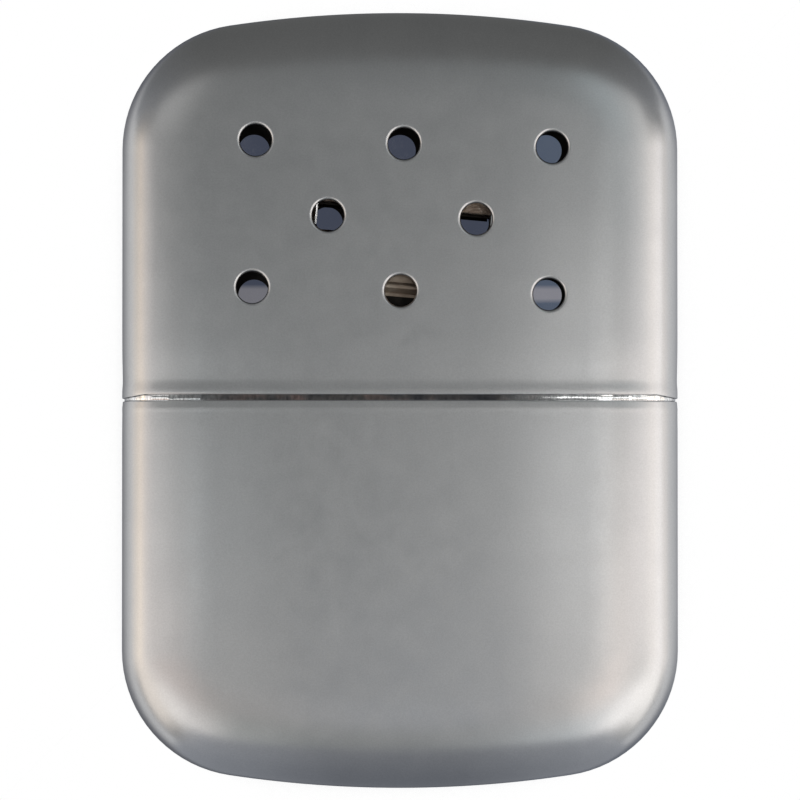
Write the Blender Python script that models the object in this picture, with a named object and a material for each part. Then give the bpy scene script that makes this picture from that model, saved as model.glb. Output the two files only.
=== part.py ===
# Catalytic hand warmer: a vented steel lid pulled down over the neck of a fuel tank.
# It lies on its back. X runs across it, Y from the tank's end to the lid's end, Z up
# through the front face. The tank's rim is at Y = 0. All lengths are in metres.

import math

import bmesh
import bpy
from mathutils import Euler, Matrix, Vector

# Body: the drawn shells share one outline, with a full round edge
body_length = 0.0985
body_width = 0.0706
body_depth = 0.0140
sheet_wall = 0.0005
corner_radius = 0.0160
end_radius = 0.1450
seam_gap = 0.0007
lip_round = 0.0002

# Clearances
fit_gap = 0.0003
cut_overrun = 0.0020

# Vents: three, two and three, front and back
vent_diameter = 0.00415
vent_pitch = 0.0186
vent_row_pitch = 0.0093
vent_centre_x = 0.00034
vent_centre_y = 0.0230
vent_edge_round = 0.00035
front_vent_turn = math.radians(-1.3)
back_vent_turn = 0.0
vent_row_counts = (3, 2, 3)

# Neck collar: a drawn cup that closes the tank and carries the lid
collar_wall = 0.0005
collar_rise = 0.0080
collar_sink = 0.0060
collar_edge_round = 0.0014
seam_band_rise = 0.0005
seam_band_gap = 0.0001

# Filler mouth: the ferrule in the collar's deck
mouth_side_play = 0.0008
mouth_wall = 0.0006
mouth_rise = 0.0095
mouth_flange_reach = 0.0013
mouth_flange_wall = 0.0005

# Burner: plugged over the mouth, leaning on the mouth's right end
burner_width = 0.0260
burner_air_gap = 0.0018
burner_wall = 0.0005
burner_lean = math.radians(-5.0)
skirt_drop = 0.0054
burner_rise = 0.0116
burner_edge_round = 0.0009
burner_lip_reach = 0.0012
skirt_curl = 0.00025
skirt_bead = 0.0004
skirt_bead_rise = 0.0013

# Windows of the burner, front and rear
window_leg = 0.0020
window_sill = 0.0021
window_lintel = 0.0016
window_corner_radius = 0.0008

# Diffuser cup
diffuser_wall = 0.0005
diffuser_rim = 0.0012
diffuser_hole_diameter = 0.0014
diffuser_hole_pitch = 0.0028
diffuser_columns = 6
diffuser_rows = 2

# Catalyst mat and the two wires under it
wire_diameter = 0.0004
wire_rise = 0.0057
wire_inset = 0.0009
mat_edge_round = 0.0012

# Fuel wadding
wick_spread = 0.0006
wick_edge_round = 0.0010
batt_slit = 0.0005
batt_fold = 0.0040

# Smoothness of the curves
corner_steps = 9
end_steps = 8
edge_steps = 14
racetrack_steps = 12
round_steps = 4
vent_steps = 24
vent_round_steps = 3
hole_steps = 12
wire_steps = 8
smooth_angle = math.radians(40.0)

# Derived places
mid_height = body_depth / 2
lid_lip = seam_gap
collar_radius = body_depth / 2 - sheet_wall - fit_gap
collar_core = body_width / 2 - body_depth / 2
burner_radius = body_depth / 2 - sheet_wall - burner_air_gap
burner_core = burner_width / 2 - burner_radius
bore_radius = burner_radius - burner_wall
inside_radius = bore_radius - fit_gap
mouth_width = burner_width - 2 * (burner_wall + mouth_side_play)
mouth_radius = inside_radius
mouth_core = mouth_width / 2 - mouth_radius
mouth_top = collar_rise + mouth_rise
mouth_bottom = collar_rise - collar_wall - fit_gap - mouth_flange_wall
window_width = burner_width - 2 * window_leg
window_head = burner_rise - window_lintel
wire_offset = inside_radius - wire_inset
mat_bottom = wire_rise + wire_diameter / 2 + fit_gap
mat_top = burner_rise - burner_wall - fit_gap


def clear_scene():
    for item in list(bpy.data.objects):
        bpy.data.objects.remove(item, do_unlink=True)


# Materials

def make_material(name, colour, metallic, roughness):
    material = bpy.data.materials.new(name)
    material.use_nodes = True
    shader = material.node_tree.nodes["Principled BSDF"]
    shader.inputs["Base Color"].default_value = (*colour, 1.0)
    shader.inputs["Metallic"].default_value = metallic
    shader.inputs["Roughness"].default_value = roughness
    material.diffuse_color = (*colour, 1.0)
    return material


# Objects and modifiers

def make_piece(name, mesh_builder, material, parent=None, location=(0, 0, 0)):
    mesh = bpy.data.meshes.new(name)
    bmesh.ops.recalc_face_normals(mesh_builder, faces=mesh_builder.faces)
    mesh_builder.to_mesh(mesh)
    mesh_builder.free()
    mesh.shade_smooth()
    mesh.set_sharp_from_angle(angle=smooth_angle)
    mesh.materials.append(material)
    piece = bpy.data.objects.new(name, mesh)
    bpy.context.collection.objects.link(piece)
    piece.parent = parent
    piece.location = location
    return piece


def make_cutter(name, mesh_builder, material, parent=None, location=(0, 0, 0)):
    cutter = make_piece(name, mesh_builder, material, parent, location)
    cutter.hide_render = True
    cutter.display_type = "WIRE"
    return cutter


def make_empty(name, location, turn=0.0):
    empty = bpy.data.objects.new(name, None)
    bpy.context.collection.objects.link(empty)
    empty.location = location
    empty.rotation_euler = Euler((0, 0, turn))
    return empty


def cut_with(piece, cutter):
    modifier = piece.modifiers.new("cut_" + cutter.name, "BOOLEAN")
    modifier.operation = "DIFFERENCE"
    modifier.solver = "EXACT"
    modifier.object = cutter


# Rings joined into closed bodies

def join_rings(builder, rings, closed):
    loops = [[builder.verts.new(point) for point in ring] for ring in rings]
    pairs = list(zip(loops, loops[1:]))
    if closed:
        pairs.append((loops[-1], loops[0]))
    for lower, upper in pairs:
        for index in range(len(lower)):
            following = (index + 1) % len(lower)
            builder.faces.new((lower[index], lower[following], upper[following], upper[index]))
    if not closed:
        builder.faces.new(loops[0])
        builder.faces.new(loops[-1])


def quarter_round(radius, start_degrees, centre, steps):
    points = []
    for step in range(steps + 1):
        angle = math.radians(start_degrees + 90 * step / steps)
        points.append((centre[0] + radius * math.cos(angle), centre[1] + radius * math.sin(angle)))
    return points


# The body outline: straight sides, round corners and gently arched ends

def arc_points(centre, radius, start, end, steps):
    return [
        (
            centre[0] + radius * math.cos(start + (end - start) * step / steps),
            centre[1] + radius * math.sin(start + (end - start) * step / steps),
        )
        for step in range(steps + 1)
    ]


def body_outline(inset):
    arch_y = body_length / 2 - end_radius
    corner_x = body_width / 2 - corner_radius
    corner_y = arch_y + math.sqrt((end_radius - corner_radius) ** 2 - corner_x**2)
    lean = math.atan2(corner_y - arch_y, corner_x)
    corner = arc_points((corner_x, corner_y), corner_radius - inset, 0, lean, corner_steps)
    arch = arc_points((0, arch_y), end_radius - inset, lean, math.pi - lean, end_steps)
    lid_end = corner[:-1] + arch + [(-x, y) for x, y in reversed(corner[:-1])]
    return lid_end + [(-x, -y) for x, y in lid_end]


def body_solid(inset):
    builder = bmesh.new()
    edge_radius = body_depth / 2 - inset
    rings = []
    for step in range(edge_steps + 1):
        angle = math.pi * (step / edge_steps - 0.5)
        height = mid_height + edge_radius * math.sin(angle)
        outline = body_outline(inset + edge_radius * (1 - math.cos(angle)))
        rings.append([Vector((x, y, height)) for x, y in outline])
    join_rings(builder, rings, closed=False)
    return builder


def keep_half(builder, height_y, upper, rounding):
    cut = bmesh.ops.bisect_plane(
        builder,
        geom=builder.verts[:] + builder.edges[:] + builder.faces[:],
        plane_co=(0, height_y, 0),
        plane_no=(0, 1, 0),
        clear_inner=upper,
        clear_outer=not upper,
    )
    edges = [item for item in cut["geom_cut"] if isinstance(item, bmesh.types.BMEdge)]
    bmesh.ops.edgeloop_fill(builder, edges=edges)
    if rounding:
        bmesh.ops.bevel(
            builder, geom=edges, offset=rounding, segments=2, profile=0.5, affect="EDGES"
        )
    return builder


# Racetrack tubes: a profile of (core, radius, along) swept round a straight core

def racetrack(core, radius, along, centre):
    ring = []
    for side in (1, -1):
        for step in range(racetrack_steps + 1):
            angle = math.pi * (step / racetrack_steps - 0.5)
            x = side * (core + radius * math.cos(angle))
            z = side * radius * math.sin(angle)
            ring.append(Vector((centre[0] + x, centre[1] + along, centre[2] + z)))
    return ring


def racetrack_body(profile, centre, closed):
    builder = bmesh.new()
    rings = [racetrack(core, radius, along, centre) for core, radius, along in profile]
    join_rings(builder, rings, closed)
    return builder


def with_core(core, points):
    return [(core, radius, along) for radius, along in points]


def step_points(radius, raised, bottom, top):
    return [(radius, bottom), (raised, bottom), (raised, top), (radius, top)]


def bead_points(radius, bead, along):
    points = []
    for step in range(2 * round_steps + 1):
        angle = math.pi * (step / (2 * round_steps) - 0.5)
        points.append((radius + bead * math.cos(angle), along + bead * math.sin(angle)))
    return points


def round_block(core, radius, bottom, top, rounding):
    low = quarter_round(rounding, -90, (radius - rounding, bottom + rounding), round_steps)
    high = quarter_round(rounding, 0, (radius - rounding, top - rounding), round_steps)
    return with_core(core, low + high)


# Vents

def vent_places(turn):
    places = []
    for row, count in enumerate(vent_row_counts):
        y = vent_row_pitch * ((len(vent_row_counts) - 1) / 2 - row)
        for column in range(count):
            x = vent_pitch * (column - (count - 1) / 2)
            places.append(
                (
                    vent_centre_x + x * math.cos(turn) - y * math.sin(turn),
                    vent_centre_y + x * math.sin(turn) + y * math.cos(turn),
                )
            )
    return places


def vent_plug(builder, place, face_height, outward):
    vent_radius = vent_diameter / 2
    flare_centre = (vent_radius + vent_edge_round, -vent_edge_round)
    flare = reversed(quarter_round(vent_edge_round, 90, flare_centre, vent_round_steps))
    profile = [(vent_radius, -cut_overrun)]
    profile += list(flare)
    profile += [(vent_radius + vent_edge_round, cut_overrun)]
    rings = []
    for radius, rise in profile:
        ring = []
        for step in range(vent_steps):
            angle = math.tau * step / vent_steps
            x = place[0] + radius * math.cos(angle)
            y = place[1] + radius * math.sin(angle)
            ring.append(Vector((x, y, face_height + outward * rise)))
        rings.append(ring)
    join_rings(builder, rings, closed=False)


def vent_cutter(material, parent, location):
    builder = bmesh.new()
    for place in vent_places(front_vent_turn):
        vent_plug(builder, place, body_depth, 1)
    for place in vent_places(back_vent_turn):
        vent_plug(builder, place, 0, -1)
    return make_cutter("vent_cutter", builder, material, parent, location)


# Shells

def make_lid(steel):
    slide = make_empty("lid_slide", (0, lid_lip, mid_height))
    back = -slide.location
    shell = make_piece(
        "lid_shell", keep_half(body_solid(0), lid_lip, True, lip_round), steel, slide, back
    )
    cut_with(shell, make_cutter("lid_inside", body_solid(sheet_wall), steel, slide, back))
    cut_with(shell, vent_cutter(steel, slide, back))


def make_tank(steel):
    shell = make_piece("tank_shell", keep_half(body_solid(0), 0, False, lip_round), steel)
    cut_with(shell, make_cutter("tank_inside", body_solid(sheet_wall), steel))


def make_collar(chrome):
    hole_radius = mouth_radius + fit_gap
    inner_round = collar_edge_round - collar_wall
    edge = (collar_radius - collar_edge_round, collar_rise - collar_edge_round)
    outside = [(collar_radius, -collar_sink)]
    outside += step_points(
        collar_radius, collar_radius + seam_band_rise, seam_band_gap, seam_gap - seam_band_gap
    )
    outside += quarter_round(collar_edge_round, 0, edge, round_steps)
    deck = [(hole_radius, collar_rise), (hole_radius, collar_rise - collar_wall)]
    inside = list(reversed(quarter_round(inner_round, 0, edge, round_steps)))
    inside.append((collar_radius - collar_wall, -collar_sink))
    profile = with_core(collar_core, outside) + with_core(mouth_core, deck)
    profile += with_core(collar_core, inside)
    make_piece("neck_collar", racetrack_body(profile, (0, 0, mid_height), True), chrome)


def make_mouth(nickel):
    flange_radius = mouth_radius + mouth_flange_reach
    flange_top = mouth_bottom + mouth_flange_wall
    bore = mouth_radius - mouth_wall
    lip = mouth_wall / 2
    lip_centre = (mouth_radius - lip, mouth_top - lip)
    points = [(flange_radius, mouth_bottom), (flange_radius, flange_top)]
    points.append((mouth_radius, flange_top))
    points += quarter_round(lip, 0, lip_centre, round_steps)
    points += quarter_round(lip, 90, lip_centre, round_steps)[1:]
    points.append((bore, mouth_bottom))
    profile = with_core(mouth_core, points)
    make_piece("filler_mouth", racetrack_body(profile, (0, 0, mid_height), True), nickel)


# Fuel wadding

def box_builder(low, high):
    builder = bmesh.new()
    bmesh.ops.create_cube(builder, size=1)
    size = Vector(high) - Vector(low)
    middle = (Vector(high) + Vector(low)) / 2
    bmesh.ops.transform(
        builder, matrix=Matrix.Translation(middle) @ Matrix.Diagonal((*size, 1)), verts=builder.verts
    )
    return builder


def make_batt(cotton):
    inset = sheet_wall + fit_gap
    top = -collar_sink - fit_gap
    end = -body_length / 2 + inset
    builder = keep_half(body_solid(inset), top, False, 0)
    batt = make_piece("cotton_batt", builder, cotton)
    reach = body_width / 2
    third = (body_depth - 2 * inset) / 3
    lower = inset + third
    upper = inset + 2 * third
    slits = {
        "batt_slit_rear": (lower, end - cut_overrun, top - batt_fold),
        "batt_slit_front": (upper, end + batt_fold, top + cut_overrun),
    }
    for name, (height, start, stop) in slits.items():
        low = (-reach, start, height - batt_slit / 2)
        high = (reach, stop, height + batt_slit / 2)
        cut_with(batt, make_cutter(name, box_builder(low, high), cotton))


def make_wick(felt):
    bottom = -collar_sink
    top = mouth_bottom - fit_gap
    radius = mouth_radius + wick_spread
    profile = round_block(mouth_core, radius, bottom, top, wick_edge_round)
    make_piece("felt_wick", racetrack_body(profile, (0, 0, mid_height), False), felt)


# Burner, modelled from the point where its cup leans on the mouth's right end

def burner_centre():
    return (-mouth_width / 2, 0, 0)


def make_burner_frame(nickel, seat):
    edge = (burner_radius - burner_edge_round, burner_rise - burner_edge_round)
    inner_round = burner_edge_round - burner_wall
    lip_radius = burner_radius - burner_lip_reach
    curl_height = skirt_curl - skirt_drop
    points = bead_points(burner_radius, skirt_curl, curl_height)
    points += bead_points(burner_radius, skirt_bead, curl_height + skirt_bead_rise)
    points += quarter_round(burner_edge_round, 0, edge, round_steps)
    points += [(lip_radius, burner_rise), (lip_radius, burner_rise - burner_wall)]
    points += reversed(quarter_round(inner_round, 0, edge, round_steps))
    points.append((bore_radius, -skirt_drop))
    builder = racetrack_body(with_core(burner_core, points), burner_centre(), True)
    frame = make_piece("burner_frame", builder, nickel, seat)
    cut_with(frame, window_cutter(nickel, seat))


def window_cutter(material, seat):
    centre_x = burner_centre()[0]
    reach = burner_radius + cut_overrun
    low = (centre_x - window_width / 2, window_sill, -reach)
    high = (centre_x + window_width / 2, window_head, reach)
    builder = box_builder(low, high)
    through = [
        edge
        for edge in builder.edges
        if abs(edge.verts[0].co.z - edge.verts[1].co.z) > burner_radius
    ]
    bmesh.ops.bevel(
        builder,
        geom=through,
        offset=window_corner_radius,
        segments=round_steps,
        profile=0.5,
        affect="EDGES",
    )
    return make_cutter("window_cutter", builder, material, seat)


def make_diffuser(nickel, seat):
    floor = fit_gap
    rim_radius = inside_radius - diffuser_wall
    points = [
        (inside_radius, floor),
        (inside_radius, floor + diffuser_rim),
        (rim_radius, floor + diffuser_rim),
        (rim_radius, floor + diffuser_wall),
    ]
    builder = racetrack_body(with_core(burner_core, points), burner_centre(), False)
    cup = make_piece("diffuser_cup", builder, nickel, seat)
    cut_with(cup, diffuser_hole_cutter(nickel, seat, floor))


def diffuser_hole_cutter(material, seat, floor):
    builder = bmesh.new()
    for column in range(diffuser_columns):
        for row in range(diffuser_rows):
            x = burner_centre()[0] + diffuser_hole_pitch * (column - (diffuser_columns - 1) / 2)
            z = diffuser_hole_pitch * (row - (diffuser_rows - 1) / 2)
            along_y = Matrix.Translation((x, floor, z)) @ Matrix.Rotation(math.pi / 2, 4, "X")
            bmesh.ops.create_cone(
                builder,
                cap_ends=True,
                segments=hole_steps,
                radius1=diffuser_hole_diameter / 2,
                radius2=diffuser_hole_diameter / 2,
                depth=2 * cut_overrun,
                matrix=along_y,
            )
    return make_cutter("diffuser_hole_cutter", builder, material, seat)


def make_mat(fibre, seat):
    profile = round_block(burner_core, inside_radius, mat_bottom, mat_top, mat_edge_round)
    make_piece(
        "catalyst_mat", racetrack_body(profile, burner_centre(), False), fibre, seat
    )


def make_wires(nickel, seat):
    across = math.sqrt(bore_radius**2 - (wire_offset + wire_diameter / 2) ** 2)
    half_length = burner_core + across - fit_gap
    for name, side in (("mat_wire_front", 1), ("mat_wire_rear", -1)):
        builder = bmesh.new()
        middle = Vector((burner_centre()[0], wire_rise, side * wire_offset))
        along_x = Matrix.Translation(middle) @ Matrix.Rotation(math.pi / 2, 4, "Y")
        bmesh.ops.create_cone(
            builder,
            cap_ends=True,
            segments=wire_steps,
            radius1=wire_diameter / 2,
            radius2=wire_diameter / 2,
            depth=2 * half_length,
            matrix=along_x,
        )
        make_piece(name, builder, nickel, seat)


def make_burner(nickel, dull_nickel, fibre):
    seat_point = (mouth_width / 2, mouth_top, mid_height)
    seat = make_empty("burner_seat", seat_point, burner_lean)
    make_burner_frame(nickel, seat)
    make_diffuser(dull_nickel, seat)
    make_mat(fibre, seat)
    make_wires(nickel, seat)


def build():
    clear_scene()
    steel = make_material("satin_steel", (0.50, 0.51, 0.52), 1.0, 0.36)
    chrome = make_material("chrome", (0.72, 0.72, 0.73), 1.0, 0.08)
    nickel = make_material("heat_tinted_nickel", (0.42, 0.35, 0.28), 1.0, 0.30)
    dull_nickel = make_material("dull_nickel", (0.38, 0.36, 0.33), 1.0, 0.45)
    fibre = make_material("catalyst_fibre", (0.22, 0.16, 0.11), 0.0, 0.95)
    cotton = make_material("cotton", (0.82, 0.80, 0.74), 0.0, 0.95)
    felt = make_material("felt", (0.70, 0.68, 0.62), 0.0, 0.95)
    make_lid(steel)
    make_tank(steel)
    make_collar(chrome)
    make_mouth(dull_nickel)
    make_batt(cotton)
    make_wick(felt)
    make_burner(nickel, dull_nickel, fibre)


build()
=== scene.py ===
import math

import bmesh
import bpy
from mathutils import Matrix, Vector


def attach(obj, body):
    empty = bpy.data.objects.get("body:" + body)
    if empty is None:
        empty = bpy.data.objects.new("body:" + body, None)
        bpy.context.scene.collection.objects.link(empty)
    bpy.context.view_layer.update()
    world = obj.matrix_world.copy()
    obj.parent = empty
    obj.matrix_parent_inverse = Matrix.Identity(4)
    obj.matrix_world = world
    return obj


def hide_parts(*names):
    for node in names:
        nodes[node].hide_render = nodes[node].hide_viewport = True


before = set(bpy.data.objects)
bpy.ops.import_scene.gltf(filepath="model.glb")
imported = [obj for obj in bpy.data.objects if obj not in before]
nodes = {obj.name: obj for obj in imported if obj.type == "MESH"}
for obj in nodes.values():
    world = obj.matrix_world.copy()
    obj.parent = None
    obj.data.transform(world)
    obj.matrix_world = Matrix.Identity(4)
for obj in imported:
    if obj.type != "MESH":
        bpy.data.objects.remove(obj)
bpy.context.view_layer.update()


# picking and building in edit mode

touching = 0.000001       # nearer than this, two points are one
seedSize = 0.001          # a line starts as a square of this size, drawn together


def letGo():
    if bpy.context.object and bpy.context.object.mode != "OBJECT":
        bpy.ops.object.mode_set(mode="OBJECT")
    bpy.ops.object.select_all(action="DESELECT")


def takeUp(piece):
    letGo()
    piece.select_set(True)
    bpy.context.view_layer.objects.active = piece


def openUp(piece, kind="EDGE"):
    if piece.mode != "EDIT":
        takeUp(piece)
        bpy.ops.object.mode_set(mode="EDIT")
    bpy.ops.mesh.select_mode(type=kind)


def closeUp():
    bpy.ops.object.mode_set(mode="OBJECT")


def pickAll():
    bpy.ops.mesh.select_all(action="SELECT")


def pick(piece, kind, test, more=False):
    # takes the points or edges whose every corner passes the test
    openUp(piece, kind)
    if not more:
        bpy.ops.mesh.select_all(action="DESELECT")
    mesh = bmesh.from_edit_mesh(piece.data)
    for item in mesh.verts if kind == "VERT" else mesh.edges:
        corners = [item] if kind == "VERT" else item.verts
        if all(test(corner.co) for corner in corners):
            item.select_set(True)
    mesh.select_flush_mode()
    bmesh.update_edit_mesh(piece.data)


def at(**levels):
    # a test for points that lie at these levels
    return lambda point: all(
        abs(getattr(point, axis) - level) < touching for axis, level in levels.items()
    )


def pull(x, y, z):
    bpy.ops.mesh.extrude_region_move(TRANSFORM_OT_translate={"value": (x, y, z)})


def sweep(degrees, steps, centre, axis):
    # spin turns clockwise, so the angle is given the other way round
    bpy.ops.mesh.spin(steps=steps, angle=-math.radians(degrees), center=centre, axis=axis)


def setDown(piece, name):
    # back in object mode, the object at the origin and its place in its mesh
    takeUp(piece)
    bpy.ops.object.transform_apply(location=True, rotation=True, scale=True)
    piece.name = name
    piece.data.name = name
    return piece


def startLine(place, name):
    letGo()
    bpy.ops.mesh.primitive_plane_add(size=seedSize, location=place)
    piece = setDown(bpy.context.object, name)
    openUp(piece, "VERT")
    pickAll()
    bpy.ops.mesh.merge(type="CENTER")
    return piece


def mergeDoubles(reach=touching):
    pickAll()
    bpy.ops.mesh.remove_doubles(threshold=reach)


def faceOut(piece):
    openUp(piece)
    mergeDoubles(2 * touching)
    bpy.ops.mesh.normals_make_consistent(inside=False)
    closeUp()


def capEnds(piece, *levels):
    for level in levels:
        pick(piece, "EDGE", at(y=level))
        bpy.ops.mesh.edge_face_add()
    faceOut(piece)


def roundOff(width, steps, **more):
    bpy.ops.mesh.bevel(offset=width, segments=steps, affect="EDGES", **more)
    closeUp()


def applyNow(piece, kind, **settings):
    takeUp(piece)
    modifier = piece.modifiers.new(kind.lower(), kind)
    for name, value in settings.items():
        setattr(modifier, name, value)
    bpy.ops.object.modifier_apply(modifier=modifier.name)


def cutAway(piece, cutter):
    applyNow(piece, "BOOLEAN", operation="DIFFERENCE", solver="EXACT", object=cutter)
    bpy.data.objects.remove(cutter, do_unlink=True)


def thicken(piece, wall, **settings):
    # the sheet's wall, grown inward
    applyNow(piece, "SOLIDIFY", thickness=wall, offset=-1, use_even_offset=True, **settings)


def softenEdges(piece, width, segments=2, degrees=40):
    applyNow(
        piece,
        "BEVEL",
        width=width,
        segments=segments,
        limit_method="ANGLE",
        angle_limit=math.radians(degrees),
        use_clamp_overlap=True,
    )


def smoothOver(piece, degrees=35):
    takeUp(piece)
    bpy.ops.object.shade_smooth_by_angle(angle=math.radians(degrees))
    applyNow(piece, "WEIGHTED_NORMAL", mode="FACE_AREA", weight=100, keep_sharp=True)


def giveNap(piece, name, voxel, size, depth):
    # remeshed finely, and its skin made uneven by a cloud
    applyNow(piece, "REMESH", mode="VOXEL", voxel_size=voxel, use_smooth_shade=True)
    nap = bpy.data.textures.new(name + "Nap", "CLOUDS")
    nap.noise_scale = size
    nap.noise_depth = 3
    applyNow(piece, "DISPLACE", texture=nap, strength=depth, mid_level=1.0)


def copySolid(nodeName, name):
    piece = bpy.data.objects.new(name, nodes[nodeName].data.copy())
    bpy.context.collection.objects.link(piece)
    return piece


def wear(piece, *finishes):
    piece.data.materials.clear()
    for finish in finishes:
        piece.data.materials.append(finish)


# node materials

def newFinish(name):
    finish = bpy.data.materials.new(name)
    finish.use_nodes = True
    tree = finish.node_tree
    return finish, tree, tree.nodes["Principled BSDF"]


def feed(tree, socket, value):
    if isinstance(value, bpy.types.NodeSocket):
        tree.links.new(value, socket)
    else:
        socket.default_value = value


def addNode(tree, kind, settings=None, **inputs):
    node = tree.nodes.new("ShaderNode" + kind)
    for name, value in (settings or {}).items():
        setattr(node, name, value)
    for name, value in inputs.items():
        feed(tree, node.inputs[name.replace("_", " ")], value)
    return node


def reckon(tree, operation, *values):
    node = addNode(tree, "Math", {"operation": operation})
    for socket, value in zip(node.inputs, values):
        feed(tree, socket, value)
    return node.outputs[0]


def onPiece(tree, stretch=(1, 1, 1)):
    place = addNode(tree, "TexCoord").outputs["Object"]
    return addNode(tree, "Mapping", Vector=place, Scale=stretch).outputs["Vector"]


def cloud(tree, scale, detail=2.0, roughness=0.5, stretch=(1, 1, 1)):
    return addNode(
        tree,
        "TexNoise",
        Vector=onPiece(tree, stretch),
        Scale=scale,
        Detail=detail,
        Roughness=roughness,
    ).outputs["Fac"]


def spread(tree, value, low, high, fromLow=0.3, fromHigh=0.7, way="LINEAR"):
    # most of a noise lies between 0.3 and 0.7
    return addNode(
        tree,
        "MapRange",
        {"interpolation_type": way},
        Value=value,
        From_Min=fromLow,
        From_Max=fromHigh,
        To_Min=low,
        To_Max=high,
    ).outputs["Result"]


def ramp(tree, value, *stops):
    node = addNode(tree, "ValToRGB", Fac=value)
    band = node.color_ramp
    while len(band.elements) < len(stops):
        band.elements.new(0.5)
    for element, (place, colour) in zip(band.elements, stops):
        element.position = place
        element.color = (*colour, 1.0)
    return node.outputs["Color"]


def blend(tree, amount, first, second, way="MIX"):
    node = addNode(tree, "Mix", {"data_type": "RGBA", "blend_type": way})
    feed(tree, node.inputs[0], amount)
    # the sixth and seventh sockets are the ones for colours
    for index, colour in ((6, first), (7, second)):
        feed(tree, node.inputs[index], (*colour, 1.0) if isinstance(colour, tuple) else colour)
    return node.outputs[2]


def rough(tree, shader, height, depth, before=None):
    bump = addNode(tree, "Bump", Height=height, Strength=1.0, Distance=depth)
    if before:
        tree.links.new(before, bump.inputs["Normal"])
    tree.links.new(bump.outputs["Normal"], shader.inputs["Normal"])
    return bump.outputs["Normal"]


polish = (((420, 2), 0.000012), ((2600, 2, 0.5, (1, 0.2, 0.2)), 0.000002))

looks = {
    # a cloud is the scale, detail, roughness and stretch of its noise. The tones follow the
    # mottling. The roughness is a number, or a cloud and the two numbers it runs between. A bump
    # is a cloud and its depth, and each is laid on the one before.
    "satinSteel": {
        "metallic": 1.0,
        "mottling": (160, 3),
        "tones": ((0.3, (0.522, 0.528, 0.537)), (0.7, (0.548, 0.553, 0.560))),
        "roughness": ((420, 2), 0.295, 0.325),
        "grain": (5200, 2, 0.6),         # blasted grains, about a fifth of a millimetre
        "grainDepth": 0.0000040,
        "speckle": (0.94, 1.06),         # they are a little darker and paler
        "wave": (110, 1),                # the sheet is never quite flat
        "waveDepth": 0.000004,
        # it swells over its flat faces: from and to across and along, and how far
        "swellAcross": (0.010, 0.036),
        "swellAlong": (0.010, 0.055),
        "swell": 0.00050,
    },
    "paintedShadeInsideSteel": {
        # unblasted, and painted dark as the shade inside the shells
        "metallic": 1.0,
        "mottling": (130, 4, 0.6),
        "tones": (
            (0.3, (0.055, 0.05, 0.046)),
            (0.6, (0.11, 0.10, 0.095)),
            (0.8, (0.17, 0.15, 0.13)),
        ),
        "roughness": ((700,), 0.42, 0.58),
        "bumps": (((900, 3), 0.000006),),
    },
    "mirrorChrome": {
        "metallic": 1.0,
        "mottling": (260, 3),
        "tones": ((0.3, (0.70, 0.69, 0.69)), (0.7, (0.80, 0.80, 0.81))),
        "roughness": ((900, 3), 0.04, 0.13),
        "bumps": polish,
    },
    "seamChrome": {
        # painted dark and reddish in its middle as a painted reflection, plain chrome towards its
        # ends, scratched by the lid
        "metallic": 1.0,
        "mottling": (330, 3, 0.6),
        "tones": (
            (0.36, (0.105, 0.105, 0.115)),
            (0.50, (0.20, 0.185, 0.185)),
            (0.64, (0.34, 0.25, 0.235)),
        ),
        "roughness": ((900, 3), 0.03, 0.09),
        "bumps": polish,
        "plainEnds": (0.84, 0.84, 0.84),
        "plainEndsReach": (0.0120, 0.0205),
        "shift": -0.010,                 # the painted dark middle reaches further to the left by this
        "scratches": (3600, 2, 0.7, (1, 0.3, 0.3)),
        "scratched": (0.55, 1.35),
    },
    "tintedNickel": {
        # straw and brown where the burner has been hot
        "metallic": 0.62,
        "mottling": (210, 4, 0.6),
        "tones": (
            (0.28, (0.20, 0.15, 0.12)),
            (0.45, (0.38, 0.30, 0.235)),
            (0.62, (0.62, 0.53, 0.43)),
            (0.78, (0.80, 0.75, 0.66)),
        ),
        "roughness": ((800, 3), 0.13, 0.24),
        "bumps": (((2400, 3, 0.6, (1, 0.3, 0.3)), 0.000014),),
    },
    "dullNickel": {
        "metallic": 1.0,
        "mottling": (320, 4),
        "tones": ((0.3, (0.11, 0.10, 0.092)), (0.7, (0.21, 0.20, 0.185))),
        "roughness": ((900, 3), 0.30, 0.48),
        "bumps": (((1400, 2, 0.5, (1, 8, 1)), 0.000004),),
    },
    "paintedShadeBlackWire": {
        # painted near black as shade, for the pad's wires and the filler's ferrule under the
        # burner
        "metallic": 0.6,
        "mottling": (1200, 3),
        "tones": ((0.3, (0.010, 0.009, 0.008)), (0.7, (0.045, 0.038, 0.032))),
        "roughness": 0.6,
    },
    "catalystFibre": {
        "sheen": 0.15,
        "mottling": (1500, 4, 0.7, (1, 5, 1)),
        "tones": (
            (0.30, (0.17, 0.12, 0.09)),
            (0.48, (0.48, 0.36, 0.28)),
            (0.62, (0.78, 0.66, 0.56)),
            (0.78, (0.95, 0.88, 0.80)),
        ),
        "roughness": 0.9,
        "bumps": (((1500, 4, 0.7, (1, 5, 1)), 0.00008),),
        "speckScale": 1900.0,
        "speckReach": (0.08, 0.22),
        "speck": (0.92, 0.87, 0.81),
    },
    "cottonWool": {
        "sheen": 0.3,
        "mottling": (900, 5, 0.7, (1, 1, 3)),
        "tones": ((0.3, (0.66, 0.63, 0.56)), (0.7, (0.87, 0.85, 0.80))),
        "roughness": 0.95,
        "bumps": (((900, 5, 0.7, (1, 1, 3)), 0.00015),),
    },
    "wickFelt": {
        "sheen": 0.2,
        "mottling": (1600, 4, 0.65),
        "tones": ((0.3, (0.52, 0.49, 0.42)), (0.7, (0.76, 0.73, 0.66))),
        "roughness": 0.95,
        "bumps": (((1600, 4, 0.65), 0.00010),),
    },
}


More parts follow.
